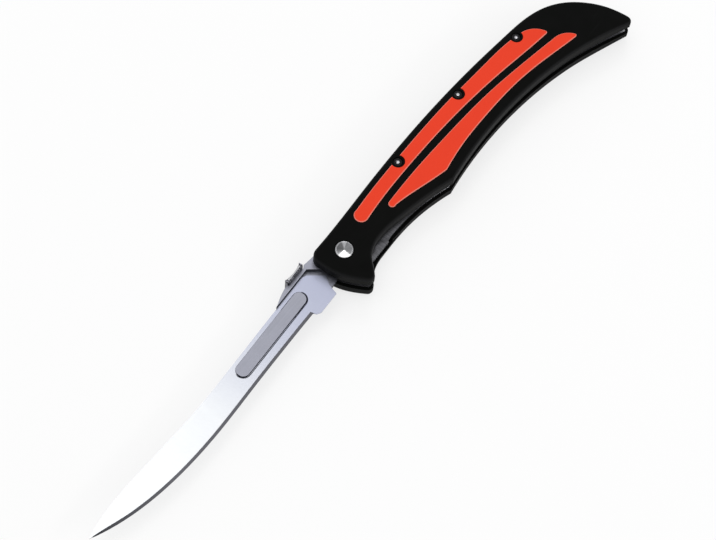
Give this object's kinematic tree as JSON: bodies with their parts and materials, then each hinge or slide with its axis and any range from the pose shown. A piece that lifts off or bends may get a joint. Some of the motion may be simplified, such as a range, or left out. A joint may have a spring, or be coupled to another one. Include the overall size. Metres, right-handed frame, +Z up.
{
  "type": "folding fillet knife",
  "caption": "Folding fillet knife with a thin curved replaceable blade on a steel holder, a thumb saddle, a liner lock and a black handle with rubber grip inlays.",
  "frame": {"origin": "middle of the knife's box at the plane that it lies on, blade open and locked", "axes": "+X from the blade's tip to the butt, +Y from the cutting side to the back, +Z up from the far side to the near side"},
  "size_m": [0.2806, 0.0432, 0.0136],
  "materials": {
    "scale_plastic": "moulded satin black",
    "grip_rubber": "matte orange",
    "liner_steel": "brushed along the handle",
    "hard_steel": "ground",
    "spacer_plastic": "moulded black",
    "washer_bronze": "satin",
    "bright_steel": "turned and polished",
    "black_steel": "blackened",
    "holder_steel": "grey, blasted and brushed",
    "blade_steel": "bright satin"
  },
  "bodies": {
    "handle": {"far_scale": "scale_plastic", "near_scale": "scale_plastic", "far_upper_grip": "grip_rubber", "far_lower_grip": "grip_rubber", "near_upper_grip": "grip_rubber", "near_lower_grip": "grip_rubber", "lock_liner": "liner_steel", "near_liner": "liner_steel", "back_spacer": "spacer_plastic", "stop_pin": "hard_steel", "far_washer": "washer_bronze", "near_washer": "washer_bronze", "pivot_barrel": "bright_steel", "pivot_screw": "bright_steel", "handle_nuts": "black_steel", "handle_screws": "black_steel"},
    "blade_assembly": {"blade_holder": "holder_steel", "thumb_saddle": "bright_steel", "saddle_screw": "black_steel", "blade": "blade_steel"},
    "lock": {"lock_leaf": "liner_steel", "detent_ball": "hard_steel"}
  },
  "joints": [
    {"name": "blade_fold", "type": "hinge", "parent": "handle", "child": "blade_assembly", "pos_m": [-0.0047, 0.01099, 0.0068], "axis": [0, 0, 1], "range_deg": [0, 175.5], "deforming": ["lock_leaf", "detent_ball"]},
    {"name": "lock_release", "type": "hinge", "parent": "handle", "child": "lock", "pos_m": [0.0663, 0.01099, 0.004], "axis": [0, -1, 0], "range_deg": [0, 1.05], "stiffness_Nm_per_rad": 2, "springref_deg": -5.73}
  ]
}
